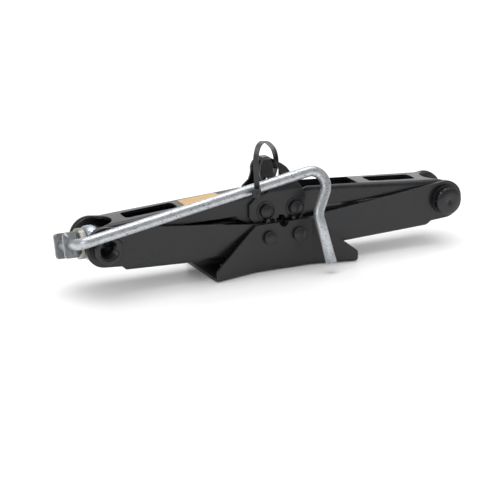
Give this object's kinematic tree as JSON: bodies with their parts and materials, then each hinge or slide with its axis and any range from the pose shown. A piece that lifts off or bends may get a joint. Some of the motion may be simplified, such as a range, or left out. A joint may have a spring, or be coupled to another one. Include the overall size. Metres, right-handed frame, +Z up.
{
  "type": "scissor car jack",
  "caption": "Folded scissor car jack with a channel foot, slotted saddle, lead screw and cranked handle strapped alongside.",
  "frame": {"origin": "middle of the foot's flat underside, on the ground", "axes": "+Z up; +X along the lead screw, from the crank end towards the nut end; +Y away from the side that the crank is stowed on"},
  "size_m": [0.4038, 0.0924, 0.1241],
  "materials": {
    "foot_paint": "satin black",
    "arm_paint": "satin black",
    "saddle_paint": "satin black",
    "pin_paint": "satin black",
    "trunnion_paint": "satin black",
    "washer_paint": "satin black",
    "zinc_plate": "zinc plated",
    "bearing_steel": "polished",
    "yellow_zinc": "yellow passivated zinc",
    "bright_steel": "turned",
    "screw_steel": "rolled and oiled",
    "yoke_zinc": "zinc plated",
    "rod_zinc": "zinc plated",
    "tie_nylon": "moulded nylon",
    "sticker_vinyl": "plain printed vinyl"
  },
  "bodies": {
    "base": {"base_foot": "foot_paint", "base_left_pin": "pin_paint", "base_right_pin": "pin_paint"},
    "lower_left": {"lower_left_arm": "arm_paint"},
    "lower_right": {"lower_right_arm": "arm_paint"},
    "upper_left": {"upper_left_arm": "arm_paint", "plain_sticker": "sticker_vinyl"},
    "upper_right": {"upper_right_arm": "arm_paint"},
    "saddle_head": {"saddle": "saddle_paint", "saddle_left_pin": "pin_paint", "saddle_right_pin": "pin_paint", "cable_tie": "tie_nylon"},
    "bearing_block": {"bearing_trunnion": "trunnion_paint", "bearing_trunnion_washers": "washer_paint", "thrust_cup": "zinc_plate", "thrust_bearing": "bearing_steel"},
    "nut_block": {"nut_trunnion": "trunnion_paint", "nut_trunnion_washers": "washer_paint"},
    "screw": {"lead_screw": "screw_steel", "thrust_ring": "yellow_zinc", "screw_collar": "bright_steel", "yoke": "yoke_zinc"},
    "crank": {"crank_handle": "rod_zinc"}
  },
  "joints": [
    {"name": "lift", "type": "hinge", "parent": "base", "child": "lower_left", "pos_m": [-0.0151, 0, 0.0326], "axis": [0, 1, 0], "range_deg": [0, 63], "deforming": ["cable_tie"]},
    {"name": "lower_right_fold", "type": "hinge", "parent": "base", "child": "lower_right", "pos_m": [0.0151, 0, 0.0326], "axis": [0, 1, 0], "range_deg": [-63, 0]},
    {"name": "upper_left_fold", "type": "hinge", "parent": "lower_left", "child": "upper_left", "pos_m": [-0.17497, 0, 0.0443], "axis": [0, 1, 0], "range_deg": [-126, 0]},
    {"name": "saddle_level", "type": "hinge", "parent": "upper_left", "child": "saddle_head", "pos_m": [-0.0151, 0, 0.056], "axis": [0, 1, 0], "range_deg": [0, 63]},
    {"name": "upper_right_fold", "type": "hinge", "parent": "lower_right", "child": "upper_right", "pos_m": [0.17497, 0, 0.0443], "axis": [0, 1, 0], "range_deg": [0, 126]},
    {"name": "bearing_level", "type": "hinge", "parent": "lower_left", "child": "bearing_block", "pos_m": [-0.17497, 0, 0.0443], "axis": [0, 1, 0], "range_deg": [-63, 0]},
    {"name": "nut_level", "type": "hinge", "parent": "lower_right", "child": "nut_block", "pos_m": [0.17497, 0, 0.0443], "axis": [0, 1, 0], "range_deg": [0, 63]},
    {"name": "screw_spin", "type": "hinge", "parent": "bearing_block", "child": "screw", "pos_m": [-0.17497, 0, 0.0443], "axis": [1, 0, 0], "range_deg": [-6, 8]},
    {"name": "crank_swing", "type": "hinge", "parent": "screw", "child": "crank", "pos_m": [-0.20347, 0, 0.0443], "axis": [0, -0.9563, 0.2924], "range_deg": [0, 180]}
  ],
  "couplings": [
    {"joint": "lower_right_fold", "follows": "lift", "ratio": -1},
    {"joint": "upper_left_fold", "follows": "lift", "ratio": -2},
    {"joint": "saddle_level", "follows": "lift", "ratio": 1},
    {"joint": "upper_right_fold", "follows": "lift", "ratio": 2},
    {"joint": "bearing_level", "follows": "lift", "ratio": -1},
    {"joint": "nut_level", "follows": "lift", "ratio": 1}
  ]
}
